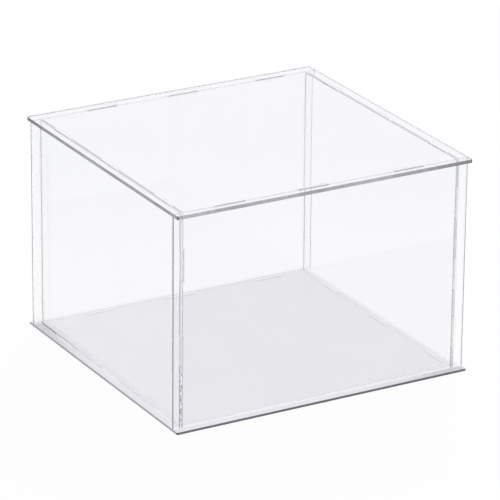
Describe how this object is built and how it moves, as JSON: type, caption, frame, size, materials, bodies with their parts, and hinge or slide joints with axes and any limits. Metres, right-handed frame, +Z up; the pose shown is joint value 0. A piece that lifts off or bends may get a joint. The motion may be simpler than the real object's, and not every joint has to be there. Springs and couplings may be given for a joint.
{
  "type": "acrylic display case",
  "caption": "Clear acrylic display case of flat sheets joined by tabs and slots, with a lift-off cover and top.",
  "frame": {"origin": "under the middle of the base panel, on the plane that the case stands on", "axes": "+X to the case's right along its wider side, -Y towards the front, +Z up"},
  "size_m": [0.27, 0.26, 0.185],
  "materials": {
    "base_acrylic": "polished",
    "wall_acrylic": "polished",
    "top_acrylic": "polished"
  },
  "bodies": {
    "base": {"base_panel": "base_acrylic"},
    "walls": {"front_wall": "wall_acrylic", "back_wall": "wall_acrylic", "left_wall": "wall_acrylic", "right_wall": "wall_acrylic"},
    "top": {"top_panel": "top_acrylic"}
  },
  "joints": [
    {"name": "walls_lift", "type": "slide", "parent": "base", "child": "walls", "axis": [0, 0, 1], "range_m": [0, 0.2]},
    {"name": "top_lift", "type": "slide", "parent": "walls", "child": "top", "axis": [0, 0, 1], "range_m": [0, 0.06]}
  ]
}
